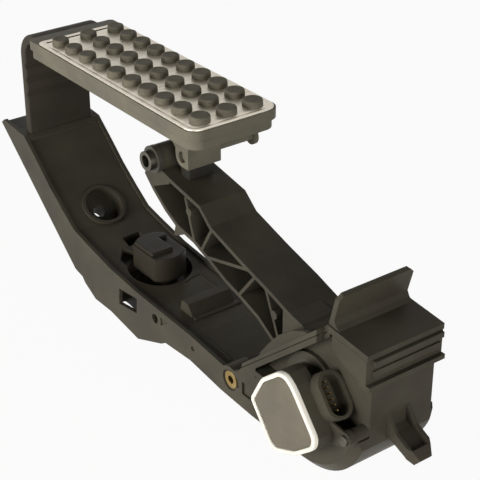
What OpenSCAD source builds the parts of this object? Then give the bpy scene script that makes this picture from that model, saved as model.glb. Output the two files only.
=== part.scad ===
// Floor-mounted accelerator pedal. A moulded base lies on the floor pan with its sloped heel,
// a treadle is hinged on a flexible strap at the heel, and its bracket slides on the lever
// that turns in the drum at the front, where the angle sensor reads it.
// +X runs from the heel to the drum, +Y to the side away from the sensor, +Z up.
// The origin is the middle of the heel bolt's hole on the sloped underside.

/* [Base moulding] */
// Width of the base moulding
base_w = 58; // [56:1:62]
// Thickness of the side walls
base_wall = 2.6; // [2.2:0.2:3]
// Thickness of the deck skin
deck_t = 3; // [2.4:0.2:3.6]
// Depth of the deck below the rims
deck_drop = 1.8; // [1.2:0.2:2.2]
// Slope of the heel that lies on the floor pan
heel_slope = 40; // [39:0.5:41]
// Diameter of the heel bolt's hole
heel_bore_d = 8.6; // [8.2:0.2:9]
// Diameter of the round cup round the bolt head
cup_d = 25; // [23:1:27]
// Depth from the underside up to the cup's floor
cup_floor = 12; // [10:1:13]
// Thickness of the ribs under the deck
base_rib = 2; // [1.6:0.2:2.4]

/* [Kickdown element] */
// Diameter of the plunger's cap
kick_d = 34; // [32:0.5:35]
// Width of the plunger's cap across its two flats
kick_flats = 24; // [22:0.5:25]
// Height of the cap's top
kick_top = 16; // [15:0.5:16.5]
// Travel of the plunger
kick_travel = 4; // [3:0.5:4]

/* [Treadle] */
// Length of the tread plate
tread_l = 160.5; // [156:0.5:162]
// Width of the tread plate
tread_w = 60; // [58:1:62]
// Height of the plate's upper face
tread_z = 131; // [130.5:0.5:132]
// Thickness of the plate
tread_t = 1.4; // [1:0.2:1.6]
// Studs along the treadle
stud_rows = 10; // [8:1:10]
// Diameter of a stud at the heel
stud_d = 10.5; // [9.5:0.5:10.5]
// Growth of a stud's diameter from one row to the next
stud_grow = 0.17; // [0:0.01:0.17]
// Distance of the first row from the plate's heel end
stud_back = 6; // [5.6:0.1:6.4]
// Distance of the last row from the plate's front end
stud_front = 9.24; // [8.8:0.04:9.6]
// Growth of the distance from one row to the next
pitch_grow = 0.21; // [0:0.01:0.21]
// Distance of the outer stud rows from the middle at the heel
stud_side = 20; // [18.5:0.5:20]
// Height of a stud above the plate
stud_h = 4; // [3:0.5:5]
// Depth of the carrier's side walls
carrier_d = 10; // [9:0.5:11]
// Thickness of the carrier's walls
carrier_wall = 2.6; // [2.2:0.2:3]

/* [Slide bracket] */
// Width of the bracket
bracket_w = 23.2; // [22:0.2:24]
// Diameter of the shoe's pin
shoe_pin_d = 7; // [6:0.5:7]
// Radius of the shoe's round underside
shoe_r = 15.08; // [14.48:0.1:15.68]
// Gap between the shoe and the lever's track
shoe_gap = 0.35; // [0.3:0.05:0.5]

/* [Lever] */
// Width of the lever
lever_w = 32.6; // [31:0.2:33]
// Thickness of the lever's flanges and web
lever_wall = 2.6; // [2.2:0.2:3]
// Thickness of the lever's ribs
lever_rib = 2; // [1.6:0.2:2.4]
// Outer radius of the lever's hub
hub_r = 26; // [25:0.5:26]
// Radius of the round barrel that reaches the sensor
barrel_r = 14; // [12:0.5:14]
// Diameter of the lever's axle
axle_d = 8; // [7:0.5:9]
// Outer diameter of the tube through the lever's tip
tip_tube_d = 12; // [11:0.5:12]
// Bore of the tube through the lever's tip
tip_bore_d = 7.4; // [6.4:0.2:7.8]
// Running clearance of the axle in its bushes, on the radius
run_gap = 0.05; // [0.03:0.01:0.08]

/* [Drum and cap] */
// Outer radius of the drum
drum_r = 46.5; // [46:0.5:47]
// Thickness of the drum's shell
drum_wall = 3; // [2.6:0.2:3.2]
// Width of the cap
cap_w = 52; // [51:1:54]
// Height of the flag above the cap
flag_h = 20; // [16:1:22]
// Width of the flag
flag_w = 50; // [46:1:50]

/* [Sensor] */
// Distance of the sensor's outer face from the base's side
sensor_out = 16; // [15.5:0.5:17]
// Width of the light rim
rim_w = 4.6; // [4:0.2:5]
// Length of the connector's oval collar
plug_l = 27; // [25:1:28]
// Width of the connector's oval collar
plug_w = 16; // [15:0.5:16]
// Contact pins in the connector
plug_pins = 6; // [4:1:6]

/* [Hinge strap] */
// Width of the strap
strap_w = 47; // [44:1:48]
// Thickness of the strap
strap_t = 6; // [5:0.5:6]

/* [Hidden] */
$fn = 64;
eps = 0.01;
far = 200;

plastic = [0.17, 0.16, 0.14];
plastic_light = [0.42, 0.40, 0.35];
rubber = [0.20, 0.20, 0.18];
satin = [0.78, 0.75, 0.69];
steel = [0.62, 0.62, 0.60];
brass = [0.78, 0.72, 0.44];
rim_white = [0.93, 0.91, 0.86];
plate_grey = [0.48, 0.46, 0.40];

// Pivots in the side view, X and Z
lever_c = [256, 15];
tip_c = [104, 90];
shoe_c = [123.5, 96.5];
strap_c = [-39, 95];
insert_c = [192.7, -12.6];

half_w = base_w / 2;
lever_h = lever_w / 2;
bracket_h = bracket_w / 2;
cap_h = cap_w / 2;
sensor_y = -half_w - sensor_out;

// Upper edge of the base's side wall, from the heel to the drum
base_top = [[-62.6, 58.2], [-35.5, 56], [-19.8, 43.2], [-6, 31.3], [9.9, 19.9], [23.4, 11],
    [36.8, 8], [65, 2.4], [94.3, -0.5], [153.5, -2.6], [189.8, -6.3], [198.3, -3.5], [206, 2.4],
    [262, 0]];
deck_end = 220;
// Lower edge of the side wall, back to the heel
heel_far = 66;
heel_near = 22;
base_low = [[262, -25.5], [213, -25.5], [184, -24.1], [153, -20.3], [127, -21.8], [122.3, -24.8],
    [95.9, -34.9], [65, -30.1], [46.1, -30], [33.5, -23.5], [31, -20.5],
    [heel_near, -heel_near * tan(heel_slope)], [-heel_far, heel_far * tan(heel_slope)]];

function shifted(points, dz) = [for (p = points) [p.x, p.y + dz]];
function normal(points, i) =
    let (a = points[max(i - 1, 0)], b = points[min(i + 1, len(points) - 1)], d = b - a)
    [-d.y, d.x] / norm(d);
function moved(points, t) = [for (i = [0:len(points) - 1]) points[i] + t * normal(points, i)];
function reversed(points) = [for (i = [len(points) - 1:-1:0]) points[i]];

// Side view outline drawn in X and Z, given its thickness from y0 to y1
module side(y0, y1) {
    translate([0, y1, 0]) rotate([90, 0, 0]) linear_extrude(y1 - y0) children();
}

// Round bar across the pedal
module across(c, r, y0, y1) {
    translate([c.x, y0, c.y]) rotate([-90, 0, 0]) cylinder(r = r, h = y1 - y0);
}

// Flat band of even thickness along a line of points, on its left side
module band(points, t) {
    polygon(concat(points, reversed(moved(points, t))));
}

// Straight rib between two points of the side view
module rib(a, b, t) {
    translate(a) rotate(atan2(b.y - a.y, b.x - a.x)) translate([0, -t / 2]) square([norm(b - a), t]);
}

// Plate with four corner radii, lying flat
module rounded_plate(x0, x1, half, r_back, r_front, h) {
    hull_x = [x0 + r_back, x1 - r_front];
    linear_extrude(h) union() {
        translate([hull_x[0], -half]) square([hull_x[1] - hull_x[0], 2 * half]);
        translate([x0, r_back - half]) square([r_back + eps, 2 * (half - r_back)]);
        translate([hull_x[1] - eps, r_front - half]) square([r_front + eps, 2 * (half - r_front)]);
        for (s = [-1, 1]) {
            translate([hull_x[0], s * (half - r_back)]) circle(r = r_back);
            translate([hull_x[1], s * (half - r_front)]) circle(r = r_front);
        }
    }
}

// Coil of round wire along Z, swept along a helix with closed ends
coil_sides = 8;
coil_steps = 18;
module coil(r, wire, turns, height) {
    n = coil_steps * turns;
    rise = height / n;
    points = [for (i = [0:n], j = [0:coil_sides - 1])
        let (a = 360 * i / coil_steps, b = 360 * j / coil_sides, q = r + wire / 2 * cos(b))
        [q * cos(a), q * sin(a), rise * i + wire / 2 * sin(b)]];
    walls = [for (i = [0:n - 1], j = [0:coil_sides - 1])
        let (k = (j + 1) % coil_sides)
        [coil_sides * i + j, coil_sides * i + k, coil_sides * (i + 1) + k, coil_sides * (i + 1) + j]];
    first = [for (j = [coil_sides - 1:-1:0]) j];
    last = [for (j = [0:coil_sides - 1]) coil_sides * n + j];
    polyhedron(points, concat([first], [last], walls));
}

// Frame of the heel bolt: its axis is square to the sloped underside
module heel_frame() {
    rotate([0, heel_slope, 0]) children();
}

// Frame of the sensor's socket: local X points out of the plug
plug_tilt = 39.7;
module plug_frame() {
    translate([lever_c.x, 0, lever_c.y]) rotate([0, -plug_tilt, 0]) children();
}

module base_outline() {
    polygon(concat(base_top, base_low));
}

// Space above the deck inside the rims
module deck_space() {
    side(base_wall - half_w, half_w - base_wall)
        polygon(concat([[-far, 60]], shifted([for (i = [1:len(base_top) - 3]) base_top[i]], -deck_drop),
            [[deck_end, base_top[len(base_top) - 3].y - deck_drop], [deck_end, far], [-far, far]]));
}

// Hollow under the deck, open at the bottom
module under_space() {
    roof = shifted([for (i = [1:len(base_top) - 3]) base_top[i]], -deck_drop - deck_t);
    side(base_wall - half_w, half_w - base_wall)
        polygon(concat(roof, [[211, roof[len(roof) - 1].y], [211, -far], [-35.5, -far]]));
}

// Cross ribs and one long rib under the deck
rib_x = [-20, 36, 58, 97, 118, 140, 160, 180];
module under_ribs() {
    intersection() {
        side(-half_w, half_w) base_outline();
        union() {
            for (x = rib_x) {
                translate([x, -half_w, -far / 2]) cube([base_rib, base_w, far]);
            }
            for (y = [-15, 13]) {
                translate([-40, y, -far / 2]) cube([240, base_rib, far]);
            }
        }
        under_space();
    }
}

// Drum shell below the lever, with bevelled shoulders
drum_half = half_w - 5;
module drum_profile(r, shoulder, half, cut) {
    polygon([[0, -half], [r - cut, -half], [r, -shoulder], [r, shoulder], [r - cut, half], [0, half]]);
}
drum_cut = 5.5;
module drum_solid(r, shoulder, half) {
    translate([lever_c.x, 0, lever_c.y]) rotate([-90, 0, 0])
        rotate_extrude() intersection() {
            drum_profile(r, shoulder, half, drum_cut);
            translate([0, -far]) square([far, 2 * far]);
        }
}

// Housing of the drum. Its cheeks climb from the ends of the side walls to the cap
pit_x = 206;
front_x = 300;
shelf_z = 6.5;
cheek_left = half_w - 9.8;
cheek_right = half_w - 5;
cheek_t = 2.3;
rim_foot = [203, 1];
rim_head = [272, 60];
rim_slope = (rim_head.y - rim_foot.y) / (rim_head.x - rim_foot.x);
rim_h = 4.1;
rim_end = 267.3;
fill_x = 216.5;
cap_under = 57.6;
cheek_low = 0.4;
function rim_z(x) = rim_foot.y + rim_slope * (x - rim_foot.x);

// Part of a rim between two stations, from below the parting line to above it
module rim_band(x0, x1, low, high) {
    polygon([[x0, rim_z(x0) + low], [x1, rim_z(x1) + low], [x1, rim_z(x1) + high], [x0, rim_z(x0) + high]]);
}

module cheek_view() {
    polygon([[pit_x + 6, -2], [pit_x + 6, rim_z(pit_x + 6) - cheek_low], rim_head - [0, cheek_low],
        [front_x, cap_under - cheek_low], [front_x, 1.5], [front_x - 10, -2]]);
}

box_x = 276;
box_front = 302.4;
box_low = 45;
box_half = half_w - 3;
module housing_box() {
    side(-box_half, box_half) polygon([[box_x, rim_head.y - 0.4], [box_front, cap_under], [box_front, box_low - 2],
        [box_front - 3, box_low - 2], [box_x + 10, box_low + 1], [box_x, box_low + 6]]);
    // Ribs across the front
    side(-box_half + 4, box_half - 1) polygon([[front_x, 53.6], [304.6, 53.6], [304.6, 56.8], [front_x, 57.4]]);
    side(-box_half + 4, box_half - 2) translate([front_x, 46.6]) square([3.4, 4]);
    side(-box_half, box_half) translate([front_x - 3, 40.5]) square([8.2, 2.8]);
}

module rims(y0, y1, y2) {
    side(y0, y1) polygon([[rim_foot.x - 3, -6], [rim_foot.x - 3, rim_foot.y - 3.4], rim_foot,
        [rim_end, rim_z(rim_end)], [rim_end, rim_z(rim_end) - rim_h], [fill_x, rim_z(fill_x) - rim_h], [fill_x, -6]]);
    side(y2, y1) rim_band(rim_end - 1, rim_head.x, -rim_h, -cheek_low);
}

step_y = 5 - half_w;
screw_c = [296, 9];
screw_r = 1.5;
screw_post_y = 0.5 - half_w;
left_bush_y = 7 - half_w;
left_ring_r = 20.5;
right_boss_r = 11;
bush_r = 8;
module drum_housing() {
    difference() {
        union() {
            intersection() {
                drum_solid(drum_r, drum_half, half_w);
                side(-half_w, half_w) polygon([[pit_x, -far], [front_x, -far], [front_x, shelf_z], [pit_x, shelf_z]]);
            }
            side(-cheek_left, cheek_right) cheek_view();
            housing_box();
            rims(-half_w, cheek_t - cheek_left, step_y);
            mirror([0, 1, 0]) rims(-half_w, cheek_t - cheek_right, step_y);
            across(screw_c, 3.8, screw_post_y, cheek_t - cheek_left);
        }
        intersection() {
            drum_solid(drum_r - drum_wall, drum_half - 1, half_w - drum_wall);
            side(-half_w, half_w) translate([pit_x, -far]) square([far, far + shelf_z - 2.6]);
        }
        side(cheek_t - cheek_left, cheek_right - cheek_t) polygon([[pit_x - 8, -2.2], [232, -2.2],
            [232, 2], [front_x - 2.6, 2], [front_x - 2.6, far], [pit_x - 8, far]]);
        side(2.6 - box_half, box_half - 2.6) polygon([[box_x + 3, box_low + 6], [box_x + 11, box_low + 3],
            [front_x - 0.2, box_low + 3], [front_x - 0.2, far], [box_x + 3, far]]);
    }
    across(lever_c, left_ring_r, left_bush_y, cheek_t - cheek_left);
    across(lever_c, right_boss_r, cheek_right - cheek_t, half_w);
}

// Wall that closes the deck's hollow at the drum
module deck_end_wall() {
    translate([pit_x - 3, base_wall - half_w, -22]) cube([3, base_w - 2 * base_wall, 14]);
}

// Block under the lever, with a flat top
stop_y = [-16, 15];
module stop_block() {
    side(stop_y[0], stop_y[1]) polygon([[124.6, -4], [126.4, 3.6], [133.2, 3.6], [138.6, -4]]);
}

// Hooked tongue at the drum's front, a channel open to the front
tongue_half = 8;
tongue_wall = 2.2;
module front_tongue() {
    difference() {
        side(-tongue_half, tongue_half) polygon([[296, 2], [304, 3], [315, -1.2], [320, -4.6], [322.6, -1.4],
            [318.8, 3.4], [307.3, 8.6], [303, 14], [300, 18], [296, 18]]);
        side(tongue_wall - tongue_half, tongue_half - tongue_wall) polygon([[300.2, 8], [304, 6],
            [316, 1.4], [319, 4], [308, 20], [300.2, 20]]);
        // Clipped corners of the nose
        for (s = [-1, 1]) {
            linear_extrude(far, center = true) polygon([[314.5, s * (tongue_half + 1)], [323.5, s * 3.6],
                [323.5, s * (tongue_half + 1)]]);
        }
    }
}

// Openings and marks in the left wall
module left_wall_cuts() {
    side(-half_w - 1, base_wall - half_w + 1)
        polygon([[75.4, -19.1], [95.6, -16.3], [96.3, -5.5], [76.2, -7.7]]);
    across([116.2, -9.9], 3.1, -half_w - 1, base_wall - half_w + 1);
    side(-half_w - 1, -half_w + 1) polygon([[122.3, -5.7], [129.9, -6.2], [122.5, -11.4]]);
    across([156, -10.7], 1.6, -half_w - 1, -half_w + 1);
    side(-half_w - 1, -half_w + 1.4) polygon([[196.4, -13.6], [201.2, -13.6], [201.2, -7.9], [196.4, -7.9]]);
    side(-half_w - 1, -half_w + 1.4) polygon([[204.3, -15.6], [212.9, -15.6], [212.9, -11.8],
        [208.4, -11.8], [208.4, -7.4], [204.3, -7.4]]);
}
insert_boss_r = 9;
insert_len = 12;
insert_r = 5.4;

// Well of the kickdown element, with two wing slots on its heel side
kick_x = 79;
well_r = 20.5;
well_floor = -10;
well_wall = 2.4;
kick_bore_r = 11;
kick_depth = 24.5;
slot_low = -2.5;
module kick_well() {
    translate([kick_x, 0, well_floor]) cylinder(r = well_r, h = far);
    translate([kick_x, 0, -kick_depth]) cylinder(r = kick_bore_r, h = far);
    translate([kick_x, 0, slot_low]) linear_extrude(far) {
        polygon([[-37, -4], [-27.5, -5], [-29, 3], [-33, 9], [-37.5, 9]]);
        polygon([[-28, -10], [-22, -5], [-12, -9], [-12, -17], [-19, -17.5]]);
    }
}

module base_plate() color(plastic) {
    difference() {
        union() {
            difference() {
                side(-half_w, half_w) base_outline();
                deck_space();
                under_space();
                // Clearance of the drum's hollow
                drum_solid(drum_r - drum_wall, drum_half - 1, half_w - drum_wall);
            }
            under_ribs();
            // Boss under the cup
            intersection() {
                heel_frame() cylinder(r = cup_d / 2 + 2.4, h = 40);
                side(-half_w, half_w) base_outline();
            }
            // Walls of the kickdown element's well and guide
            translate([kick_x, 0, well_floor - well_wall]) cylinder(r = well_r + well_wall, h = -well_floor);
            translate([kick_x, 0, -kick_depth]) cylinder(r = kick_bore_r + well_wall, h = kick_depth + well_floor);
            // Boss behind the threaded insert
            across(insert_c, insert_boss_r, -half_w, insert_len - half_w + 2);
            drum_housing();
            deck_end_wall();
            stop_block();
            front_tongue();
            strap_socket();
        }
        heel_frame() translate([0, 0, cup_floor]) cylinder(r = cup_d / 2, h = 40);
        heel_frame() translate([0, 0, -5]) cylinder(r = heel_bore_d / 2, h = 60);
        left_wall_cuts();
        across(insert_c, insert_r, -half_w - 1, insert_len - half_w);
        across(insert_c, insert_r + 1.1, -half_w - 1, 1 - half_w);
        kick_well();
        socket_space();
        // Bores of the lever's bearings and the sensor's screw
        across(lever_c, barrel_r + 2.2, -half_w - 2, 1 - lever_h);
        across(lever_c, bush_r, lever_h, half_w - 2);
        across(screw_c, screw_r, -half_w, -cheek_left - 1);
        // Room of the plug's collar in the left ring
        plug_run(plug_start - 1, socket_out, plug_gap);
    }
}

// Socket for the strap's foot in the heel land
socket_t = 3;
strap_foot_z = 48;
module strap_socket() {
    intersection() {
        translate([strap_c.x - strap_t / 2 - socket_t, -strap_w / 2 - socket_t, strap_foot_z - socket_t])
            cube([strap_t + 2 * socket_t, strap_w + 2 * socket_t, 20]);
        side(-half_w, half_w) base_outline();
    }
}
module socket_space() {
    translate([strap_c.x - strap_t / 2, -strap_w / 2, strap_foot_z]) cube([strap_t, strap_w, 20]);
}

module brass_insert() color(brass) {
    difference() {
        across(insert_c, insert_r, 0.6 - half_w, insert_len - half_w);
        across(insert_c, 2.5, -half_w, insert_len - half_w + 1);
    }
}

// Cap of the drum: a plate with the flag, and two arms on the rims of the cheeks
cap_z = 64;
cap_front = 303.1;
cap_drop = 3;
flag_lean = 5;
arm_top = [204.8, 5.6];
parting_gap = 0.5;
lobe = [[210, 7], [214.8, 16.5], [222.9, 27.1], [229.7, 34.9], [241.3, 43.8], [251.4, 48.6], [258, 48.6]];
module cap_arm(y0, y1, y2) {
    difference() {
        union() {
            side(y0, y1) polygon([rim_foot, [rim_end, rim_z(rim_end)], [rim_end, 59.8], arm_top]);
            side(y2, y1) polygon([[rim_end - 1, rim_z(rim_end - 1)], rim_head, [rim_head.x + 2, rim_head.y],
                [rim_head.x + 2, cap_z - 1], [rim_head.x, cap_z - 0.2], [rim_end - 1, 58.9]]);
            // Arched guard beside the lever's hub
            side(y2, y2 + 2.4) polygon(concat(lobe, [[256, rim_z(256)], [212, rim_z(212)]]));
        }
        // Parting groove along the outer edge
        side(y0 - 1, y0 + 2) rim_band(rim_foot.x - 2, rim_end + 1, -0.1, parting_gap);
    }
}
module stop_cap() color(plastic) {
    difference() {
        union() {
            side(-cap_h, cap_h) polygon([rim_head, [cap_front, cap_under], [cap_front, cap_z - cap_drop], [rim_head.x, cap_z]]);
            // Flag that leans forward, with a fillet at its foot
            side(-flag_w / 2, flag_w / 2) polygon([[rim_head.x, cap_z - 1], [rim_head.x, cap_z + 1],
                [rim_head.x + flag_lean, cap_z + flag_h], [rim_head.x + flag_lean + 3, cap_z + flag_h - 0.8],
                [rim_head.x + 4, cap_z + 4], [rim_head.x + 5.6, cap_z + 1], [rim_head.x + 9, cap_z - 1.4]]);
        }
        // Clipped corners of the flag
        for (s = [-1, 1]) {
            translate([rim_head.x - 2, 0, 0]) rotate([90, 0, 90]) linear_extrude(20)
                polygon([[s * (flag_w / 2 - 4), cap_z + flag_h + 1], [s * (flag_w / 2 + 1), cap_z + flag_h - 4],
                    [s * (flag_w / 2 + 1), cap_z + flag_h + 1]]);
        }
    }
    cap_arm(-half_w, cheek_t - cheek_left, step_y);
    mirror([0, 1, 0]) cap_arm(-half_w, cheek_t - cheek_right, step_y);
}

kick_gap = 0.25;
kick_flange_r = 15.5;
kick_flange = 1.4;
barrel_top = well_floor + 3;
kick_floor = 2.5 - kick_depth;
stem_r = 8.6;
stem_low = -15;
stem_wall = 2;
stem_roof = 7;
module kickdown_body() color(plastic_light) {
    difference() {
        union() {
            translate([kick_x, 0, -kick_depth]) cylinder(r = kick_bore_r, h = kick_depth + barrel_top);
            translate([kick_x, 0, well_floor]) cylinder(r = kick_flange_r, h = kick_flange);
        }
        translate([kick_x, 0, kick_floor]) cylinder(r = stem_r, h = far);
    }
}

// Round cap with two flats, a raised top and a skirt that hangs in the well
skirt_low = -2;
skirt_wall = 2.2;
kick_rim_z = kick_top - 2.2;
module cap_slice(r, flats, z0, z1) {
    intersection() {
        translate([kick_x, 0, z0]) cylinder(r = r, h = z1 - z0);
        translate([kick_x - r - 1, -flats / 2, z0]) cube([2 * r + 2, flats, z1 - z0]);
    }
}
module kickdown_plunger() color(plastic) {
    difference() {
        union() {
            difference() {
                union() {
                    cap_slice(kick_d / 2, kick_flats, skirt_low, kick_rim_z);
                    // Raised top, open at the front and at the right
                    intersection() {
                        cap_slice(kick_d / 2 - 1.4, kick_flats - 2.8, kick_rim_z - 1, kick_top);
                        translate([kick_x - kick_d / 2, -kick_d / 2, 0]) union() {
                            cube([kick_d / 2 + 8.5, kick_d / 2 + 4.4, far]);
                            cube([kick_d / 2 - 7, kick_d, far]);
                        }
                    }
                }
                cap_slice(kick_d / 2 - skirt_wall, kick_flats - 2 * skirt_wall, skirt_low - 1, kick_rim_z - 3);
            }
            translate([kick_x, 0, stem_low]) cylinder(r = stem_r - kick_gap, h = kick_rim_z - 2 - stem_low);
        }
        translate([kick_x, 0, stem_low - 1]) cylinder(r = stem_r - stem_wall, h = stem_roof - stem_low + 1);
    }
}
module kickdown_spring() color(steel) {
    translate([kick_x, 0, kick_floor + 0.8]) coil(4.8, 1.2, 6, stem_roof - kick_floor - 1.6);
}

// Strap with its upper bend; the foot sits in the heel, the tongue in the carrier
bend_r = 18;
bend_c = [strap_c.x - strap_t / 2 + bend_r, tread_z - tread_t - 1.6 - bend_r];
strap_tongue_x = -14;
groove_z = [84, 94, 104];
groove_d = 1.3;
module hinge_strap() color(plastic_light) {
    difference() {
        side(-strap_w / 2, strap_w / 2) union() {
            translate([strap_c.x - strap_t / 2, strap_foot_z]) square([strap_t, bend_c.y - strap_foot_z]);
            intersection() {
                difference() {
                    translate(bend_c) circle(r = bend_r);
                    translate(bend_c) circle(r = bend_r - strap_t);
                }
                translate([bend_c.x - far, bend_c.y]) square(far);
            }
            translate([bend_c.x, bend_c.y + bend_r - strap_t])
                square([strap_tongue_x - bend_c.x, strap_t]);
        }
        for (z = groove_z) {
            side(-strap_w, strap_w) polygon([[strap_c.x + strap_t / 2 - groove_d, z],
                [strap_c.x + strap_t / 2 + 1, z - groove_d - 1], [strap_c.x + strap_t / 2 + 1, z + groove_d + 1]]);
        }
    }
}

// Treadle carrier: a shallow tray turned over, with ribs, its lip at the heel and the bracket
carrier_top = tread_z - tread_t - 1.6;
carrier_x0 = -16;
carrier_x1 = tread_l + 1.4;
corner_r = 8.5;
module pad_carrier() color(plastic_light) {
    low = carrier_top - carrier_d;
    half = tread_w / 2 + 0.8;
    difference() {
        union() {
            translate([0, 0, carrier_top - 4]) rounded_plate(carrier_x0, carrier_x1, half, 3, corner_r, 6);
            translate([0, 0, low]) rounded_plate(carrier_x0 + 1, carrier_x1 - 1.6, half - 1.6, 2, corner_r, 8);
        }
        // Seat of the mat and the plate
        translate([0, 0, carrier_top]) rounded_plate(-0.1, tread_l + 0.7, tread_w / 2 + 0.1, 2.2, corner_r, 10);
        // Hollow between the side walls
        translate([0, 0, low - 1]) rounded_plate(carrier_x0 + 3.6, carrier_x1 - 4.2,
            half - 1.6 - carrier_wall, 1, corner_r - carrier_wall, carrier_d - 3 + 1);
        // Seat of the strap's tongue
        translate([carrier_x0 - 1, -strap_w / 2 - 0.2, carrier_top - strap_t])
            cube([strap_tongue_x - carrier_x0 + 1.2, strap_w + 0.4, strap_t + eps]);
    }
    // Long and cross ribs
    for (y = [-17, 0, 17]) {
        translate([carrier_x0 + 3, y - 1, low + 1]) cube([carrier_x1 - carrier_x0 - 6, 2, carrier_d - 4]);
    }
    for (x = [20, 55, 90, tread_l - 10.5]) {
        translate([x, -half + 3, low + 1]) cube([2, 2 * half - 6, carrier_d - 4]);
    }
    slide_bracket(low);
}

// Bracket under the front of the carrier: a front wall and two lugs with the pin's holes
bracket_front = 129.8;
bracket_wall = 3;
lug_r = 6.2;
module slide_bracket(low) {
    difference() {
        side(-bracket_h, bracket_h) union() {
            translate(shoe_c) circle(r = lug_r);
            polygon([[shoe_c.x - lug_r, shoe_c.y], [bracket_front, shoe_c.y - lug_r],
                [bracket_front, low + 3], [102, low + 3], [108.2, 108], [shoe_c.x - lug_r - 0.4, 101]]);
            translate([shoe_c.x, shoe_c.y - lug_r]) square([bracket_front - shoe_c.x, lug_r]);
        }
        side(3 - bracket_h, bracket_h - 3) polygon([[90, 60], [bracket_front - bracket_wall, 60],
            [bracket_front - bracket_wall, low + 1], [90, low + 1]]);
        across(shoe_c, shoe_pin_d / 2, -bracket_h - 1, bracket_h + 1);
    }
}

// Shoe that slides on the lever's track, cut off straight at its back, front and top
shoe_back = 5.6;
shoe_front = 3;
shoe_head = 4.6;
track_slope = 10.5;
track_back = 7.5;
track_ahead = 23.5;
function track_z(dx) = shoe_c.y - (shoe_r + shoe_gap) / cos(track_slope) - dx * tan(track_slope);
track_a = [shoe_c.x - track_back, track_z(-track_back)];
track_b = [shoe_c.x + track_ahead, track_z(track_ahead)];
shoe_half = bracket_h - 3.2;
module slide_shoe() color(rubber) {
    difference() {
        side(-shoe_half, shoe_half) intersection() {
            translate(shoe_c) circle(r = shoe_r);
            translate([shoe_c.x - shoe_back, shoe_c.y - shoe_r - 1])
                square([shoe_back + shoe_front, shoe_r + 1 + shoe_head]);
        }
        across(shoe_c, shoe_pin_d / 2, -bracket_h, bracket_h);
    }
}
pin_end = 40;
pin_tail_r = 2.4;
pin_head_r = 5.4;
pin_head = 2.4;
module shoe_pin() color(plastic) {
    across(shoe_c, shoe_pin_d / 2 - 0.03, 2.5 - bracket_h, bracket_h + 1);
    across(shoe_c, pin_tail_r, bracket_h, pin_end - pin_head / 2);
    across(shoe_c, pin_head_r, pin_end - pin_head, pin_end);
}

// Tread plate with a hole for each stud
last_row = stud_rows - 1;
stud_pitch = (tread_l - stud_back - stud_front - pitch_grow * last_row * (last_row - 1) / 2) / last_row;
function row_x(i) = stud_back + stud_pitch * i + pitch_grow * i * (i - 1) / 2;
function row_y(i) = stud_side - 0.215 * i;
function row_r(i) = (stud_d + stud_grow * i) / 2;
module each_stud() {
    for (i = [0:stud_rows - 1], s = [-1, 0, 1]) {
        translate([row_x(i), s * row_y(i), 0]) stud(row_r(i));
    }
}
stud_gap = 0.15;
module stud(r) {
    translate([0, 0, carrier_top + 0.4]) cylinder(r = r, h = tread_z - carrier_top + stud_h - 0.4);
}
module tread_plate() color(satin) {
    difference() {
        translate([0, 0, tread_z - tread_t]) rounded_plate(0.5, tread_l, tread_w / 2 - 0.1, 2, corner_r - 0.6, tread_t);
        for (i = [0:stud_rows - 1], s = [-1, 0, 1]) {
            translate([row_x(i), s * row_y(i), tread_z - 5]) cylinder(r = row_r(i) + stud_gap, h = 10);
        }
    }
}
module stud_mat() color(rubber) {
    translate([0, 0, carrier_top + eps])
        rounded_plate(1.5, tread_l - 1, tread_w / 2 - 1.2, 2, corner_r - 1.5, 1.6 - 2 * eps);
    each_stud();
}

// Lever: flanges along the upper and lower edge, a web on the right and ribs open to the left
lever_top = [track_a + [-9, 2.4], track_a, track_b, [157.9, 67.4], [186.7, 58.6], [214, 51.2], [232, 45.4], [250, 41]];
lever_low = [[91, 75], [99.3, 67.2], [111.6, 58.3], [124, 52.1], [140.6, 49.4], [155.4, 43.8],
    [171.2, 37.4], [186, 33.4], [201.7, 28.2], [213.8, 21], [232, 12]];
lever_ribs = [[[98.4, 70.4], [116.6, 79]], [[132.7, 76], [141.1, 50.6]], [[158.1, 65], [148, 47.6]],
    [[153.8, 45.9], [194.6, 56]], [[199.1, 54], [184.3, 35.4]], [[208.4, 51.5], [221.3, 22]]];
rib_bosses = [[136.1, 67.6], [216.1, 38]];
tip_r = 8;
lug_w = 7;
spring_y = 6;
module lever_outline() {
    polygon(concat(lever_top, [lever_c + [0, 21], lever_c - [16, 10]], reversed(lever_low)));
}
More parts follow.
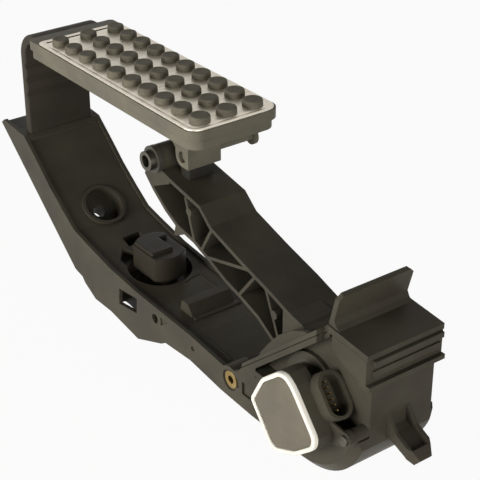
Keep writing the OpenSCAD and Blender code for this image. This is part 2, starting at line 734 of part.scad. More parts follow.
module lever_arm() color(plastic) {
    difference() {
        union() {
            side(-lever_h, lever_h) union() {
                band(lever_top, -lever_wall);
                band(lever_low, lever_wall);
                translate(tip_c) circle(r = tip_r);
                polygon([tip_c - [8, 0], tip_c - [0, 8], track_a + [-8, 1.8], track_a, track_a + [0.6, -4.5],
                    [98.4, 70.4], lever_low[0], tip_c - [11.5, 10]]);
            }
            side(lever_h - lever_wall, lever_h) difference() {
                lever_outline();
                translate(lever_c) circle(r = hub_r);
            }
            side(-lever_h, lever_h) intersection() {
                lever_outline();
                for (r = lever_ribs) {
                    rib(r[0], r[1], lever_rib);
                }
            }
            for (b = rib_bosses) {
                across(b, 2.6, -lever_h, lever_h);
            }
            // Hub, its barrel towards the sensor and its core inside the springs
            across(lever_c, hub_r, -lever_h, spring_y);
            side(-lever_h, spring_y) translate(lever_c)
                polygon([[-32, 3], [-16, -13], [0, 21], [-16, 29], [-32, 32.4]]);
            across(lever_c, barrel_r, sensor_y + 12.4, -lever_h + eps);
            across(lever_c, 11, spring_y - eps, cheek_in - 2.6);
            // Lug under the left edge
            side(-lever_h, lug_w - lever_h)
                polygon([[122.5, 54.2], [120.6, 46.6], [122.4, 46.2], [130.6, 50.6], [131, 52.4]]);
        }
        across(tip_c, tip_tube_d / 2, -lever_h - 1, lever_h + 1);
        across(lever_c, axle_d / 2, -60, 60);
        // Seat of the rotor in the barrel's end
        across(lever_c, 9, -60, sensor_y + 12.4 + 4);
    }
}

tip_end = 24;
module tip_tube() color(steel) {
    difference() {
        across(tip_c, tip_tube_d / 2, -tip_end, tip_end);
        across(tip_c, tip_bore_d / 2, -tip_end - 1, tip_end + 1);
    }
}
module tip_bush(y0, y1) {
    difference() {
        across(tip_c, 8.2, y0, y1);
        across(tip_c, tip_tube_d / 2, y0 - 1, y1 + 1);
    }
}
module tip_bush_left() color(plastic) tip_bush(-lever_h - 3.4, -lever_h);
module tip_bush_right() color(plastic) tip_bush(lever_h, lever_h + 3.4);

cheek_in = cheek_right - cheek_t;
axle_y0 = sensor_y + 12.4 + 4;
axle_y1 = half_w - 2.4;
module lever_axle() color(steel) {
    across(lever_c, axle_d / 2, axle_y0, axle_y1);
}
bush_flange_r = 10;
module axle_bush_right() color(plastic_light) {
    difference() {
        union() {
            across(lever_c, bush_r, cheek_in, half_w - 2.2);
            across(lever_c, bush_flange_r, cheek_in - 2, cheek_in);
        }
        across(lever_c, axle_d / 2 + run_gap, 0, half_w);
    }
}
module axle_bush_left() color(plastic_light) {
    difference() {
        across(lever_c, barrel_r + 2.2, left_bush_y, left_bush_y + 5);
        across(lever_c, barrel_r + run_gap, left_bush_y - 1, left_bush_y + 6);
    }
}

spring_z0 = spring_y + 1;
outer_coil_r = 20;
inner_coil_r = 14.8;
spring_len = cheek_in - 0.6 - spring_z0;
module return_spring_outer() color(steel) {
    translate([lever_c.x, spring_z0 + 1.6, lever_c.y]) rotate([-90, 0, 0]) coil(outer_coil_r, 2.6, 3, spring_len - 3.2);
}
module return_spring_inner() color(steel) {
    translate([lever_c.x, spring_z0 + 1.4, lever_c.y]) rotate([-90, 0, 0]) coil(inner_coil_r, 2.2, 4, spring_len - 2.8);
}

// Curved brake shoe on the hub, pressed up by a small spring
shoe_angle = 26;
module friction_shoe() color(plastic_light) {
    side(-12, 2) intersection() {
        difference() {
            translate(lever_c) circle(r = hub_r + 5);
            translate(lever_c) circle(r = hub_r + 0.2);
        }
        translate(lever_c) polygon([[0, 0], [far * sin(shoe_angle), -far * cos(shoe_angle)],
            [-far * sin(shoe_angle), -far * cos(shoe_angle)]]);
    }
}
module friction_spring() color(steel) {
    translate([lever_c.x, -5, lever_c.y - drum_r + drum_wall + 1]) coil(4.5, 1.2, 4, drum_r - drum_wall - hub_r - 7.2);
}

// Sensor on the left of the drum
sensor_back = -half_w - 2;
sensor_face = sensor_y + 3;
sensor_outline = [[233, 6], [233, 3.4], [249.5, -17], [255.7, -18], [272, -10.6], [285.9, 1.3],
    [287.2, 8.6], [268.4, 31], [261.9, 35.2], [255.6, 34.1], [241.3, 22.1]];
sensor_mid = [259.6, 8];
function toward_mid(points, w) =
    [for (p = points) p + w * (sensor_mid - p) / norm(sensor_mid - p)];
module sensor_rotor() color(plastic_light) {
    difference() {
        across(lever_c, 8.9, sensor_face + 5, sensor_y + 12.4 + 4);
        across(lever_c, 3, sensor_face + 4, sensor_face + 8);
    }
}
module rotor_magnet() color(steel) {
    across(lever_c, 2.95, sensor_face + 5.2, sensor_face + 8);
}
plug_start = barrel_r + 2.6;
plug_gap = 0.4;
socket_out = 28;
socket_floor = 18;
plug_mid = [-7.1, 1.5 - half_w];
module plug_shape(grow) {
    r = plug_w / 2 + grow;
    for (s = [-1, 1]) {
        translate([plug_mid.y, plug_mid.x + s * (plug_l - plug_w) / 2]) circle(r = r);
    }
    translate([plug_mid.y - r, plug_mid.x - (plug_l - plug_w) / 2]) square([2 * r, plug_l - plug_w]);
}
// Lengths along the plug's axis, drawn from the sensor's middle
module plug_run(from, to, grow) {
    plug_frame() translate([from, 0, 0]) rotate([90, 0, 90]) linear_extrude(to - from) plug_shape(grow);
}
tab_y = -half_w - 3.4;
module sensor_body() color(plastic) {
    difference() {
        union() {
            side(sensor_face, sensor_back) polygon(sensor_outline);
            plug_run(plug_start, socket_out, 0);
            // Tab with the screw's eye
            across(screw_c, 4.4, tab_y, screw_post_y);
            side(tab_y, sensor_back) polygon([[284, 14], [282, -1], [298.2, 5.2], [298.4, 12.8]]);
        }
        // Room of the board and the rotor
        side(sensor_face - 1, sensor_back - 3) polygon(toward_mid(sensor_outline, rim_w));
        across(lever_c, barrel_r + 0.6, sensor_back - 4, sensor_back + 20);
        plug_run(socket_floor, 40, -2);
        across(screw_c, screw_r, -50, 0);
        contact_pins();
    }
}
module sensor_rim() color(rim_white) {
    difference() {
        side(sensor_y, sensor_face) polygon(sensor_outline);
        side(sensor_y - 1, sensor_face + 1) polygon(toward_mid(sensor_outline, rim_w));
    }
}
module sensor_plate() color(plate_grey) {
    side(sensor_y + 1, sensor_face) polygon(toward_mid(sensor_outline, rim_w + 0.05));
}
module sensor_board() color([0.13, 0.3, 0.2]) {
    side(sensor_face + 2, sensor_face + 3.4) polygon(toward_mid(sensor_outline, rim_w + 1.5));
}
pin_step = 3.2;
module contact_pins() {
    for (i = [0:plug_pins - 1]) {
        plug_frame() translate([socket_floor - 1.2, plug_mid.y - 0.4,
            plug_mid.x + pin_step * (i - (plug_pins - 1) / 2) - 0.4]) cube([7.4, 0.8, 0.8]);
    }
}
module connector_pins() color(brass) {
    contact_pins();
}
module sensor_screws() color(steel) {
    across(screw_c, screw_r, tab_y - eps, left_bush_y);
    across(screw_c, 2.8, tab_y - 1.8, tab_y);
}

base_plate();
brass_insert();
stop_cap();
kickdown_body();
kickdown_plunger();
kickdown_spring();
hinge_strap();
pad_carrier();
tread_plate();
stud_mat();
slide_shoe();
shoe_pin();
lever_arm();
tip_tube();
tip_bush_left();
tip_bush_right();
lever_axle();
axle_bush_left();
axle_bush_right();
return_spring_outer();
return_spring_inner();
friction_shoe();
friction_spring();
sensor_rotor();
rotor_magnet();
sensor_body();
sensor_rim();
sensor_plate();
sensor_board();
connector_pins();
sensor_screws();
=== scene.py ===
"""Floor-mounted accelerator pedal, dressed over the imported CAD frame.

The CAD nodes keep their shapes and get moulded, turned and pressed finishes. The tread plate, the
studs, the hinge strap, the kickdown spring and the sensor's rim and lid are drawn again here with
rolled and rounded edges, and the base's deck gets two low ridges and a ledge. The pieces' lengths
are in millimetres until put_piece turns them to metres. Lamps, camera and floor are in metres.
"""
import math

import bmesh
import bpy
import numpy as np
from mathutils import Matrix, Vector

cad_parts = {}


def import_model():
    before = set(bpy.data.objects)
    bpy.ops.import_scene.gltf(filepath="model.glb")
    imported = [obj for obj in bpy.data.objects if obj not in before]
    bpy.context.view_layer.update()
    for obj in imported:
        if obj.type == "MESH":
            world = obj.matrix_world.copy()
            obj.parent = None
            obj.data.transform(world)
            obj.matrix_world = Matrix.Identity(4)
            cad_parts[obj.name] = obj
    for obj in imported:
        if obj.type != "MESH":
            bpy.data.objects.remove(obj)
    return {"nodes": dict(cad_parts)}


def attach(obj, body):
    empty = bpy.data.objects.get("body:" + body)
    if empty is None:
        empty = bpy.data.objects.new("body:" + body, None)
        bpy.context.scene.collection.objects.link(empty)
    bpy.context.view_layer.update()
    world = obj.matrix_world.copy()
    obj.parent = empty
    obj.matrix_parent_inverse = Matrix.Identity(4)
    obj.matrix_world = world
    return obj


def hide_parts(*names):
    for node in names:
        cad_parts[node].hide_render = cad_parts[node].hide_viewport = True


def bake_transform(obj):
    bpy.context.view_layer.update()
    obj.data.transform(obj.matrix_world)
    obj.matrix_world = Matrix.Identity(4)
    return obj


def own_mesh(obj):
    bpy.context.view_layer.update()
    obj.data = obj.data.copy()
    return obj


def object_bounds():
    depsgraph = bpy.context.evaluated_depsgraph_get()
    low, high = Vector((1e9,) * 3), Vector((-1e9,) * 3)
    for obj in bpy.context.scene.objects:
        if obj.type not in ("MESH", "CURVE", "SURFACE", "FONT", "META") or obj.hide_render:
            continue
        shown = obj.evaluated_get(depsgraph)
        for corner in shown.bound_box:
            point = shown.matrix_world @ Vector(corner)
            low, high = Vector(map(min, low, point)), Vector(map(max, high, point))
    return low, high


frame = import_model()
cad_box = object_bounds()
nodes = frame["nodes"]
scene = bpy.context.scene
scene.view_settings.view_transform = "Standard"

MM = 0.001


# Colours and nodes

# Shares of the noise at which a patch is fully of the first and of the second shade
PATCH_FROM, PATCH_TO = 0.32, 0.70
# Shares of the noise between which a value such as roughness goes from least to most
NOISE_LOW, NOISE_HIGH = 0.3, 0.7
BEVEL_SAMPLES = 6


def linear(hex_colour):
    """An sRGB hex colour as linear RGBA: each channel goes through the sRGB curve."""
    c = np.array([int(hex_colour[i:i + 2], 16) for i in (1, 3, 5)]) / 255
    c = np.where(c <= 0.04045, c / 12.92, ((c + 0.055) / 1.055) ** 2.4)
    return (*c.tolist(), 1.0)


def add(tree, kind, inputs=None, **settings):
    """Add a node of a kind, set its properties, and fill its sockets with values or links."""
    node = tree.nodes.new(kind)
    for key, value in settings.items():
        setattr(node, key, value)
    for key, value in (inputs or {}).items():
        if isinstance(value, bpy.types.NodeSocket):
            tree.links.new(value, node.inputs[key])
        else:
            node.inputs[key].default_value = value
    return node


def blank(name):
    """A material with an empty tree, its output, and Object coordinates."""
    mat = bpy.data.materials.new(name)
    mat.use_nodes = True
    tree = mat.node_tree
    tree.nodes.clear()
    place = add(tree, "ShaderNodeTexCoord").outputs["Object"]
    return mat, tree, place


def finish_material(tree, shader):
    """Join the shader to the material's output."""
    add(tree, "ShaderNodeOutputMaterial", {"Surface": shader.outputs[0]})


def noise(tree, place, size_mm, detail):
    """Noise of a given size in millimetres."""
    return add(tree, "ShaderNodeTexNoise", {"Vector": place, "Scale": 1 / (size_mm * MM),
                                            "Detail": detail}).outputs["Fac"]


def two_shades(tree, value, start, end, low, high):
    """Colour that goes from one shade to another as the value goes from start to end."""
    ramp = add(tree, "ShaderNodeValToRGB", {"Fac": value})
    for stop, position, shade in zip(ramp.color_ramp.elements, (start, end), (low, high)):
        stop.position = position
        stop.color = linear(shade)
    return ramp.outputs["Color"]


def spread(tree, value, least, most):
    """Noise value stretched to go from least to most."""
    stretch = add(tree, "ShaderNodeMapRange", {"Value": value, "From Min": NOISE_LOW,
                                               "From Max": NOISE_HIGH, "To Min": least, "To Max": most})
    return stretch.outputs["Result"]


def tone(tree, place, low, high, size_mm):
    """Colour that wanders between two shades over patches of a given size."""
    cloud = noise(tree, place, size_mm, 3.0)
    return two_shades(tree, cloud, PATCH_FROM, PATCH_TO, low, high)


def grain(tree, place, size_mm, depth_mm, strength, edge_mm):
    """Fine grain as a bump, over a normal that rounds the moulded edges by edge_mm."""
    speck = noise(tree, place, size_mm, 2.0)
    edge = add(tree, "ShaderNodeBevel", {"Radius": edge_mm * MM}, samples=BEVEL_SAMPLES)
    bump = add(tree, "ShaderNodeBump", {"Height": speck, "Distance": depth_mm * MM,
                                        "Strength": strength, "Normal": edge.outputs["Normal"]})
    return bump.outputs["Normal"]


def moulded(name, low, high, rough, patch_mm=30, grain_mm=0.9, edge_mm=0.5, specular=0.35):
    """Injection-moulded plastic: fine spark-eroded grain, slow changes of shade, gloss in patches of
    two fifths of the shade's size, and edges with a small radius."""
    mat, tree, place = blank(name)
    gloss = noise(tree, place, patch_mm * 0.4, 2.0)
    shader = add(tree, "ShaderNodeBsdfPrincipled", {
        "Base Color": tone(tree, place, low, high, patch_mm),
        "Roughness": spread(tree, gloss, rough - 0.05, rough + 0.06),
        "Specular IOR Level": specular,
        "Normal": grain(tree, place, grain_mm, depth_mm=0.05, strength=0.35, edge_mm=edge_mm)})
    finish_material(tree, shader)
    return mat


def metal(name, low, high, rough, patch_mm=8, grain_mm=0.5, edge_mm=0.3):
    """Drawn or turned metal: a slight change of shade and gloss, and a fine grain."""
    mat, tree, place = blank(name)
    shader = add(tree, "ShaderNodeBsdfPrincipled", {
        "Base Color": tone(tree, place, low, high, patch_mm), "Metallic": 1.0, "Roughness": rough,
        "Normal": grain(tree, place, grain_mm, depth_mm=0.02, strength=0.3, edge_mm=edge_mm)})
    finish_material(tree, shader)
    return mat


def brushed_plate(name, low, high, streak_mm=0.9, stretch=0.06, rub_mm=22):
    """Stainless sheet brushed across the pedal: streaks 0.9 mm wide run along Y, drawn coarser than the
    real 0.1 mm so that they show, and the sheet is worn in patches."""
    mat, tree, place = blank(name)
    squeezed = add(tree, "ShaderNodeMapping", {"Vector": place, "Scale": (1.0, stretch, 1.0)})
    streak = noise(tree, squeezed.outputs["Vector"], streak_mm, 2.0)
    rub = noise(tree, place, rub_mm, 3.0)
    bump = add(tree, "ShaderNodeBump", {"Height": streak, "Distance": 0.02 * MM, "Strength": 0.35})
    shader = add(tree, "ShaderNodeBsdfPrincipled", {
        "Base Color": two_shades(tree, streak, NOISE_LOW, NOISE_HIGH, low, high), "Metallic": 0.85,
        "Roughness": spread(tree, rub, 0.34, 0.46), "Normal": bump.outputs["Normal"]})
    finish_material(tree, shader)
    return mat


# Black glass-filled nylon, injection-moulded: reads warm grey-black with a soft sheen
nylon = moulded("black_nylon_moulded", "#413c34", "#4c483c", 0.4, specular=0.06)
# The treadle carrier is the same nylon painted a little paler: painted light, standing for the light
# that falls on its front faces
carrier_painted_light = moulded("carrier_nylon_painted_light", "#605c50", "#6e6959", 0.5, patch_mm=18,
                        specular=0.15)
# The kickdown's cap is the base's nylon, polished in its mould, with well rounded edges, and painted
# darker than the base: painted shade for the shade that falls on the cap
cap_painted_shade = moulded("kickdown_nylon_painted_shade", "#302d25", "#3a352c", 0.36, edge_mm=1.6, specular=0.08)
# Thermoplastic rubber of the hinge strap: dull, with a fine skin
strap_rubber = moulded("strap_rubber_moulded", "#36332c", "#403a31", 0.62, grain_mm=0.7,
                       specular=0.1)
# Nitrile rubber studs: matt, grey-green, scuffed on top
stud_rubber = moulded("stud_rubber_moulded", "#5b5649", "#6b6657", 0.66, patch_mm=6,
                      grain_mm=0.6, specular=0.2)
# White PBT rim of the sensor, smooth and opaque
rim_plastic = moulded("rim_white_pbt", "#efe9da", "#f8f3e6", 0.4, patch_mm=14)
# Grey PBT lid of the sensor
lid_plastic = moulded("lid_grey_pbt", "#635e51", "#726b5d", 0.55, patch_mm=20, specular=0.2)
# Acetal bushes and shoes: smooth dark grey, waxy
acetal = moulded("acetal_grey_moulded", "#3e3c34", "#49473d", 0.36, patch_mm=12, specular=0.2)
# The slide shoe's acetal is coloured black, partly its own dark colour and partly painted shade for the
# shadow under the bracket
shoe_black_painted_shade = moulded("acetal_black_painted_shade", "#25231f", "#2e2c26", 0.4, patch_mm=12, specular=0.15)
# Epoxy board with green solder mask, glossy
board = moulded("board_solder_mask", "#25593e", "#2c6949", 0.3, patch_mm=5)
# Zinc-plated steel of the springs, the axle and the magnet's cup
zinc_steel = metal("zinc_plated_steel", "#a9a69c", "#c0bcb0", 0.32)
# Black phosphated steel of the screws and the tip's tube, lightly oiled
phosphated = metal("black_phosphated_steel", "#55524a", "#6b675d", 0.42)
# Turned brass of the threaded insert, dulled by handling
brass = metal("turned_brass", "#8f7845", "#a88f5a", 0.36)
# Gold-flashed contacts
gold = metal("gold_flashed_contact", "#c9a862", "#e0c37e", 0.25)
# Brushed stainless tread plate
stainless = brushed_plate("brushed_stainless_plate", "#c1b9a9", "#ddd6c7")

finishes = {
    "base_plate": nylon, "stop_cap": nylon, "lever_arm": nylon, "tip_bush_left": acetal,
    "tip_bush_right": acetal, "axle_bush_left": acetal, "axle_bush_right": acetal,
    "friction_shoe": acetal, "slide_shoe": shoe_black_painted_shade, "sensor_rotor": acetal, "kickdown_body": nylon,
    "kickdown_plunger": cap_painted_shade, "pad_carrier": carrier_painted_light, "shoe_pin": carrier_painted_light,
    "hinge_strap": strap_rubber, "stud_mat": stud_rubber, "tread_plate": stainless,
    "tip_tube": phosphated, "lever_axle": zinc_steel, "kickdown_spring": zinc_steel,
    "return_spring_outer": zinc_steel, "return_spring_inner": zinc_steel,
    "friction_spring": zinc_steel, "rotor_magnet": zinc_steel, "sensor_screws": phosphated,
    "brass_insert": brass, "connector_pins": gold, "sensor_body": nylon, "sensor_rim": rim_plastic,
    "sensor_plate": lid_plastic, "sensor_board": board,
}
for node_name, finish in finishes.items():
    data = nodes[node_name].data
    data.materials.clear()
    data.materials.append(finish)


# Surfaces

def put_piece(name, points, faces, finish, body, smooth):
    """Mesh object at the origin from points in millimetres and faces, shaded smooth where two faces
    meet at less than smooth degrees."""
    mesh = bpy.data.meshes.new(name)
    mesh.from_pydata((np.asarray(points).reshape(-1, 3) * MM).tolist(), [], faces)
    mesh.validate()
    mesh.materials.append(finish)
    piece = bpy.data.objects.new(name, mesh)
    scene.collection.objects.link(piece)
    mesh.shade_smooth()
    mesh.set_sharp_from_angle(angle=math.radians(smooth))
    if body:
        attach(piece, body)
    return piece


def grid_faces(rows, cols, wrap_rows=False, start=0):
    """Quads between neighbouring rows and columns of a grid whose columns close round, and its rows
    too where asked."""
    r = np.arange(rows if wrap_rows else rows - 1)
    r, c = np.meshgrid(r, np.arange(cols), indexing="ij")
    r1, c1 = (r + 1) % rows, (c + 1) % cols
    quads = np.stack([r * cols + c, r * cols + c1, r1 * cols + c1, r1 * cols + c], -1)
    return (quads.reshape(-1, 4) + start).tolist()


def rounded_path(corners, radius, steps=9):
    """Closed path with its corners eased: each corner C becomes a curve between two points A and B set
    back along its edges, P = (1-s)^2 A + 2 s (1-s) C + s^2 B, at most 0.48 of the shorter edge."""
    c = np.asarray(corners, float)
    back, ahead = np.roll(c, 1, 0) - c, np.roll(c, -1, 0) - c
    back_len = np.linalg.norm(back, axis=1, keepdims=True)
    ahead_len = np.linalg.norm(ahead, axis=1, keepdims=True)
    most = 0.48 * np.minimum(back_len, ahead_len)
    set_back = np.minimum(most, np.reshape(radius, (-1, 1)))
    a, b = c + back / back_len * set_back, c + ahead / ahead_len * set_back
    s = np.linspace(0, 1, steps)[None, :, None]
    curve = (1 - s) ** 2 * a[:, None] + 2 * s * (1 - s) * c[:, None] + s ** 2 * b[:, None]
    return curve.reshape(-1, 2)


def closed_faces(rows, cols, start=0):
    """Faces of a grid whose columns close round, with its first and its last row filled in."""
    first = list(range(start, start + cols))
    last = list(range(start + cols * (rows - 1), start + cols * rows))
    return grid_faces(rows, cols, start=start) + [last, first[::-1]]


def outward(path):
    """Unit normals of a closed path, pointing out of it: the tangent turned by a right angle."""
    t = np.roll(path, -1, 0) - np.roll(path, 1, 0)
    t = t / np.maximum(np.linalg.norm(t, axis=1, keepdims=True), 1e-9)
    n = np.stack([t[:, 1], -t[:, 0]], -1)
    area = np.sum(path[:, 0] * np.roll(path[:, 1], -1) - path[:, 1] * np.roll(path[:, 0], -1))
    return n if area > 0 else -n


def finish_piece(piece, node=None):
    """Turn the faces of a closed piece outwards and hide the CAD node that it replaces."""
    bm = bmesh.new()
    bm.from_mesh(piece.data)
    bmesh.ops.recalc_face_normals(bm, faces=bm.faces)
    bm.to_mesh(piece.data)
    bm.free()
    if node:
        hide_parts(node)


# Tread plate and studs

PLATE_TOP = 131.0
PLATE_X, PLATE_HALF = (-6.4, 160.95), 29.95
PLATE_HEEL_R, PLATE_TOE_R = 4.5, 9.4
STUD_ROWS, FIRST_STUD_X = 10, 6
STUD_PITCH, PITCH_GROWTH = 15.3, 0.21
COLUMN_Y, COLUMN_CLOSING = 20, 0.215
STUD_D, STUD_D_GROWTH = 10.5, 0.17
STUD_SIDES = 32
MAT_X, MAT_HALF = (0.9, 160.0), 29.5
MAT_HEEL_R, MAT_TOE_R = 2.4, 9.2
MAT_LEVELS = (-2.9, -1.5)


def rect_path(x0, x1, half, r_back, r_front, steps=10):
    """Rectangle on the pedal's plane with one radius at the heel and one at the toe."""
    corners = [(x0, -half), (x1, -half), (x1, half), (x0, half)]
    return rounded_path(corners, [r_back, r_front, r_front, r_back], steps)


def tread_plate():
    """Pressed plate. A profile of inset and height is carried along the outline: it rises up the turned
    edge, rounds over, dips into the bead's groove and runs level to the middle."""
    path = rect_path(*PLATE_X, PLATE_HALF, PLATE_HEEL_R, PLATE_TOE_R)
    normal = outward(path)
    profile = np.array([
        (0.5, -2.3), (0.0, -2.0), (0.0, -0.75), (0.22, -0.3), (0.75, -0.04), (1.5, 0.0), (2.1, -0.08),
        (2.6, -0.32), (3.0, -0.42), (3.4, -0.32), (3.9, -0.1), (4.6, 0.0), (6.0, 0.0)])
    inset_by, high = profile[:, 0, None, None], profile[:, 1, None, None]
    plan = path[None] - normal[None] * inset_by
    z = np.broadcast_to(PLATE_TOP + high, plan.shape[:2] + (1,))
    faces = closed_faces(len(profile), len(path))
    piece = put_piece("tread_plate_pressed", np.concatenate([plan, z], -1), faces, stainless,
                      "treadle", smooth=60)
    finish_piece(piece, "tread_plate")


def stud_places():
    """Centres and radii of the studs: three columns that close in, with a pitch that grows."""
    i = np.arange(STUD_ROWS)
    x = FIRST_STUD_X + STUD_PITCH * i + PITCH_GROWTH * i * (i - 1) / 2
    side = COLUMN_Y - COLUMN_CLOSING * i
    radius = (STUD_D + STUD_D_GROWTH * i) / 2
    columns = np.array([-1, 0, 1])
    x, r = np.repeat(x, len(columns)), np.repeat(radius, len(columns))
    y = (side[:, None] * columns).ravel()
    return x, y, r


def studs():
    """Rubber studs. Each is a profile of radius share and height turned about its own axis: straight
    side, a crease, a rolled shoulder and a shallow dish on top. The mat's edge shows below the plate."""
    x, y, r = stud_places()
    share = np.array([1.0, 1.0, 0.995, 0.965, 0.985, 0.975, 0.93, 0.86, 0.74, 0.62, 0.3, 0.02])
    high = np.array([-0.3, 1.7, 2.15, 2.35, 2.6, 3.2, 3.72, 3.94, 4.0, 3.9, 3.82, 3.8])
    turn = np.linspace(0, 2 * np.pi, STUD_SIDES, endpoint=False)
    ring = np.stack([np.cos(turn), np.sin(turn)], -1)
    plan = r[:, None, None, None] * share[None, :, None, None] * ring[None, None]
    plan = plan + np.stack([x, y], -1)[:, None, None]
    z = np.broadcast_to((PLATE_TOP + high)[None, :, None, None], plan.shape[:3] + (1,))
    points = np.concatenate([plan, z], -1)
    rows, cols = len(share), len(turn)
    faces = []
    for k in range(len(x)):
        faces += closed_faces(rows, cols, k * rows * cols)
    edge = rect_path(*MAT_X, MAT_HALF, MAT_HEEL_R, MAT_TOE_R)
    mat = np.array([np.c_[edge, np.full(len(edge), PLATE_TOP + level)] for level in MAT_LEVELS])
    faces += closed_faces(len(mat), len(edge), len(x) * rows * cols)
    everything = np.concatenate([points.reshape(-1, 3), mat.reshape(-1, 3)])
    piece = put_piece("studs_and_mat", everything, faces, stud_rubber, "treadle", smooth=40)
    finish_piece(piece, "stud_mat")


# Marks on the base's deck

# The deck's height at three places along the pedal, with straight slopes between
DECK_X, DECK_Z = (99.0, 150.0, 183.0), (-2.47, -4.28, -7.4)
RIDGE_WIDTH, RIDGE_HEIGHT = 0.9, 0.45


def deck_ridge(name, plan, width, height):
    """Low moulded ridge on the deck. A rounded section of side and height is carried along a line of the
    plan, at the deck's own height there, and turned at each point to the mean of the two directions."""
    p = np.asarray(plan, float)
    step = np.diff(p, axis=0)
    step = step / np.linalg.norm(step, axis=1, keepdims=True)
    way = np.concatenate([step[:1], step[:-1] + step[1:], step[-1:]])
    way = way / np.linalg.norm(way, axis=1, keepdims=True)
    side = np.stack([-way[:, 1], way[:, 0]], -1)
    across = np.array([-0.5, -0.42, -0.22, 0.22, 0.42, 0.5]) * width
    up = np.array([-0.3, 0.7, 1.0, 1.0, 0.7, -0.3]) * height
    xy = p[:, None] + side[:, None] * across[None, :, None]
    z = np.interp(xy[..., 0], DECK_X, DECK_Z) + up[None]
    points = np.concatenate([xy, z[..., None]], -1)
    faces = closed_faces(len(p), len(across))
    piece = put_piece(name, points, faces, nylon, "base", smooth=40)
    finish_piece(piece)


def deck_marks():
    """Ridge by the kickdown element, ridge along the left wall, and ledge at the stop block's foot."""
    field = [(102.3, 2.4), (99.6, 10.7), (99.3, 16.8), (106.4, 15.6), (120.4, 16.4)]
    deck_ridge("deck_ridge_kickdown", field, RIDGE_WIDTH, RIDGE_HEIGHT)
    deck_ridge("deck_ridge_wall", [(151, -20.7), (183, -20.7)], RIDGE_WIDTH, RIDGE_HEIGHT)
    deck_ridge("stop_block_ledge", [(139.2, -16), (139.2, 17.5)], 4.6, 1.2)


# Hinge strap

STRAP_X, STRAP_FOOT, STRAP_T, STRAP_HALF = -39.0, 48.2, 6.0, 23.5
BEND_R, BEND_Z, TONGUE_X = 15.0, 110.0, -14.2
STRAP_EDGE_R = 1.5
GROOVE_Z, GROOVE_DEPTH, GROOVE_WIDTH, GROOVE_BOW = (84.5, 94.5, 104.5), 1.35, 1.5, 0.05


def strap_line(count=150):
    """Middle line of the strap: straight up, a quarter turn about the bend's centre, and level into the
    carrier. Gives its points and its normals towards the front."""
    up = np.linspace(STRAP_FOOT, BEND_Z, int(count * 0.62))
    turn = np.linspace(0, np.pi / 2, int(count * 0.24))[1:]
    level = np.linspace(STRAP_X + BEND_R, TONGUE_X, int(count * 0.14))[1:]
    x = np.concatenate([np.full_like(up, STRAP_X), STRAP_X + BEND_R * (1 - np.cos(turn)), level])
    z = np.concatenate([up, BEND_Z + BEND_R * np.sin(turn), np.full_like(level, BEND_Z + BEND_R)])
    nx = np.concatenate([np.ones_like(up), np.cos(turn), np.zeros_like(level)])
    nz = np.concatenate([np.zeros_like(up), -np.sin(turn), -np.ones_like(level)])
    return x, z, nx, nz


def hinge_strap():
    """Flexible strap. A rounded oblong section is carried along the middle line, and three wavy grooves
    are pressed into its front, each a dip exp(-(distance / width)^2)."""
    x, z, nx, nz = strap_line()
    half_t = STRAP_T / 2
    edge = rounded_path([(-STRAP_HALF, -half_t), (STRAP_HALF, -half_t), (STRAP_HALF, half_t),
                         (-STRAP_HALF, half_t)], STRAP_EDGE_R, 6)
    across, out = edge[:, 0][None], edge[:, 1][None]
    on_front = np.clip(out / half_t, 0, 1) ** 2
    groove = sum(np.exp(-((z[:, None] - level + GROOVE_BOW * np.abs(across)) / GROOVE_WIDTH) ** 2)
                 for level in GROOVE_Z)
    deep = out - GROOVE_DEPTH * groove * on_front
    points = np.stack([x[:, None] + nx[:, None] * deep, np.broadcast_to(across, deep.shape),
                       z[:, None] + nz[:, None] * deep], -1)
    faces = closed_faces(len(x), len(edge))
    piece = put_piece("hinge_strap_ribbed", points, faces, strap_rubber, None, smooth=50)
    finish_piece(piece, "hinge_strap")
    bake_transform(piece)


# Kickdown spring

COIL_X, COIL_LOW, COIL_HIGH = 79.0, -21.2, 6.2
COIL_R, WIRE_R, COIL_TURNS, END_SLOPE = 4.8, 0.6, 6, 0.2


def kickdown_coil():
    """Coil spring. A circle is carried along a helix, and each end turn climbs at a fifth of the others'
    slope, so it closes: centre (R cos t, R sin t, z), with z the sum of the slopes up to t."""
    turn, steps, sides = 2 * np.pi, 24, 10
    count = COIL_TURNS * steps + 1
    t = np.linspace(0, COIL_TURNS * turn, count)
    slope = np.where((t < turn) | (t > (COIL_TURNS - 1) * turn), END_SLOPE, 1.0)[1:]
    climb = np.concatenate([[0], np.cumsum(slope)]) / slope.sum()
    z = COIL_LOW + (COIL_HIGH - COIL_LOW) * climb
    b = np.linspace(0, turn, sides, endpoint=False)
    r = COIL_R + WIRE_R * np.cos(b)[None]
    points = np.stack([COIL_X + r * np.cos(t)[:, None], r * np.sin(t)[:, None],
                       z[:, None] + WIRE_R * np.sin(b)[None]], -1)
    faces = closed_faces(count, sides)
    piece = put_piece("kickdown_coil", points, faces, zinc_steel, "base", smooth=50)
    finish_piece(piece, "kickdown_spring")
    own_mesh(piece)


# Sensor

SENSOR_Y, SENSOR_CORNER, SHARPEST_CORNER = -45.0, 3.6, 0.8
SENSOR_EDGE = [(233, 6), (233, 3.4), (249.5, -17), (255.7, -18), (272, -10.6), (285.9, 1.3),
               (287.2, 8.6), (268.4, 31), (261.9, 35.2), (255.6, 34.1), (241.3, 22.1)]


def inset(corners, distance):
    """Corners of a polygon moved inwards: each goes along the sum of its two edge normals, by
    distance / (1 + n1 . n2), so that both edges move by the distance."""
    c = np.asarray(corners, float)
    edge = np.roll(c, -1, 0) - c
    n2 = np.stack([-edge[:, 1], edge[:, 0]], -1) / np.linalg.norm(edge, axis=1, keepdims=True)
    n1 = np.roll(n2, 1, 0)
    return c + distance * (n1 + n2) / (1 + np.sum(n1 * n2, axis=1, keepdims=True))


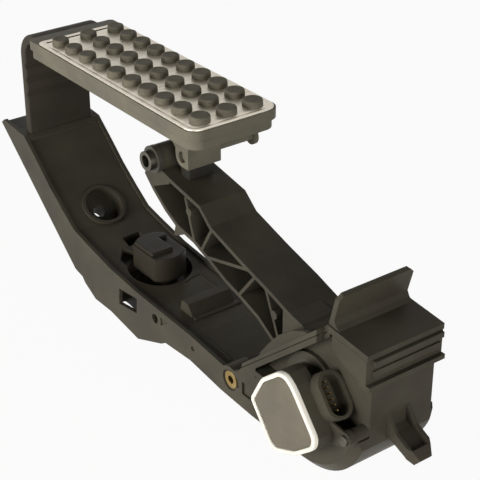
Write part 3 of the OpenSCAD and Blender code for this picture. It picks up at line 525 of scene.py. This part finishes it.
def sensor_rows(section):
    """Rows of points of a section of inset and depth that is carried round the sensor's outline. Its
    corners grow sharper inwards, by half of the inset."""
    corner = np.maximum(SENSOR_CORNER - 0.5 * section[:, 0], SHARPEST_CORNER)
    flat = np.array([rounded_path(inset(SENSOR_EDGE, d), r, 5) for d, r in zip(section[:, 0], corner)])
    y = np.broadcast_to((SENSOR_Y + section[:, 1])[:, None, None], flat.shape[:2] + (1,))
    return np.concatenate([flat[..., :1], y, flat[..., 1:]], -1)


def sensor_rim():
    """Light rim. A bevelled section is carried round the sensor's outline."""
    section = np.array([(0.1, 3.0), (0.1, 0.9), (0.4, 0.3), (0.9, 0.02), (2.1, 0.02), (2.5, 0.3),
                        (2.6, 0.9), (2.6, 3.0)])
    points = sensor_rows(section)
    faces = grid_faces(len(section), points.shape[1], wrap_rows=True)
    piece = put_piece("sensor_rim_bevelled", points, faces, rim_plastic, "base", smooth=40)
    finish_piece(piece, "sensor_rim")


def sensor_lid():
    """Grey lid inside the rim, a flat plate with a small rounded edge."""
    section = np.array([(2.65, 3.0), (2.65, 1.3), (2.85, 0.95), (3.3, 0.8)])
    points = sensor_rows(section)
    faces = closed_faces(*points.shape[:2])
    piece = put_piece("sensor_lid_flat", points, faces, lid_plastic, "base", smooth=40)
    finish_piece(piece, "sensor_plate")


tread_plate()
studs()
deck_marks()
kickdown_coil()
hinge_strap()
sensor_rim()
sensor_lid()


# Floor, light and camera

FLOOR_HALF, FLOOR_DROP = 6.0, 0.0006
# Share of the floor's own white that the camera and reflections see; the rest keeps the shadow
FLOOR_GLOW = 0.94
WORLD_LEVEL = 0.035
LAMP_TARGET = (0.12, 0.0, 0.04)
CAMERA_PLACE = (0.7239, -0.42, 0.4445)
CAMERA_ROUND, CAMERA_UP = 53.14, 29.01
LENS_MM, FILM_MM = 105, 36


def floor():
    """Plain pale floor under the lowest point, white when seen directly, with the object's shadow."""
    level = cad_box[0][2] - FLOOR_DROP
    mesh = bpy.data.meshes.new("floor")
    corners = [(x * FLOOR_HALF, y * FLOOR_HALF, level) for x, y in ((-1, -1), (1, -1), (1, 1), (-1, 1))]
    mesh.from_pydata(corners, [], [(0, 1, 2, 3)])
    mat, tree, _ = blank("floor_white")
    seen = add(tree, "ShaderNodeLightPath")
    either = add(tree, "ShaderNodeMath", {0: seen.outputs["Is Camera Ray"],
                                          1: seen.outputs["Is Glossy Ray"]}, operation="MAXIMUM")
    share = add(tree, "ShaderNodeMath", {0: either.outputs[0], 1: FLOOR_GLOW}, operation="MULTIPLY")
    paint = add(tree, "ShaderNodeBsdfDiffuse", {"Color": linear("#f6f4ef")})
    glow = add(tree, "ShaderNodeEmission", {"Color": (1, 1, 1, 1), "Strength": 1.0})
    mixed = add(tree, "ShaderNodeMixShader", {0: share.outputs[0], 1: paint.outputs[0],
                                              2: glow.outputs[0]})
    finish_material(tree, mixed)
    mesh.materials.append(mat)
    piece = bpy.data.objects.new("floor", mesh)
    scene.collection.objects.link(piece)


def world():
    """Even soft light from all round; seen directly or mirrored it is white."""
    sky = bpy.data.worlds.new("studio")
    scene.world = sky
    sky.use_nodes = True
    tree = sky.node_tree
    tree.nodes.clear()
    seen = add(tree, "ShaderNodeLightPath")
    mirrored = add(tree, "ShaderNodeMath", {0: seen.outputs["Is Glossy Ray"],
                                            1: seen.outputs["Is Transmission Ray"]}, operation="MAXIMUM")
    direct = add(tree, "ShaderNodeMath", {0: seen.outputs["Is Camera Ray"], 1: mirrored.outputs[0]},
                 operation="MAXIMUM")
    dim = add(tree, "ShaderNodeBackground", {"Color": (1, 1, 1, 1), "Strength": WORLD_LEVEL})
    white = add(tree, "ShaderNodeBackground", {"Color": (1, 1, 1, 1), "Strength": 1.0})
    mixed = add(tree, "ShaderNodeMixShader", {0: direct.outputs[0], 1: dim.outputs[0],
                                              2: white.outputs[0]})
    add(tree, "ShaderNodeOutputWorld", {"Surface": mixed.outputs[0]})


def lamp(name, place, width, watts):
    """Square soft lamp, so many metres wide, turned towards the middle of the pedal."""
    light = bpy.data.lights.new(name, "AREA")
    light.shape = "SQUARE"
    light.size = width
    light.energy = watts
    thing = bpy.data.objects.new(name, light)
    scene.collection.objects.link(thing)
    thing.location = place
    way = Vector(LAMP_TARGET) - Vector(place)
    thing.rotation_euler = way.to_track_quat("-Z", "Y").to_euler()


def camera():
    """Camera at the photograph's angle: 53 degrees round and 29 degrees up, through a long lens."""
    data = bpy.data.cameras.new("camera")
    data.lens, data.sensor_width = LENS_MM, FILM_MM
    thing = bpy.data.objects.new("camera", data)
    scene.collection.objects.link(thing)
    thing.location = CAMERA_PLACE
    thing.rotation_euler = (math.radians(90 - CAMERA_UP), 0, math.radians(CAMERA_ROUND))
    scene.camera = thing


floor()
world()
lamp("key_left", (0.05, -1.5, 0.2), 1.0, 33)
lamp("fill_front", (1.6, -0.35, 0.1), 0.9, 17)
lamp("top_soft", (0.1, 0.3, 1.6), 1.2, 1.1)
camera()
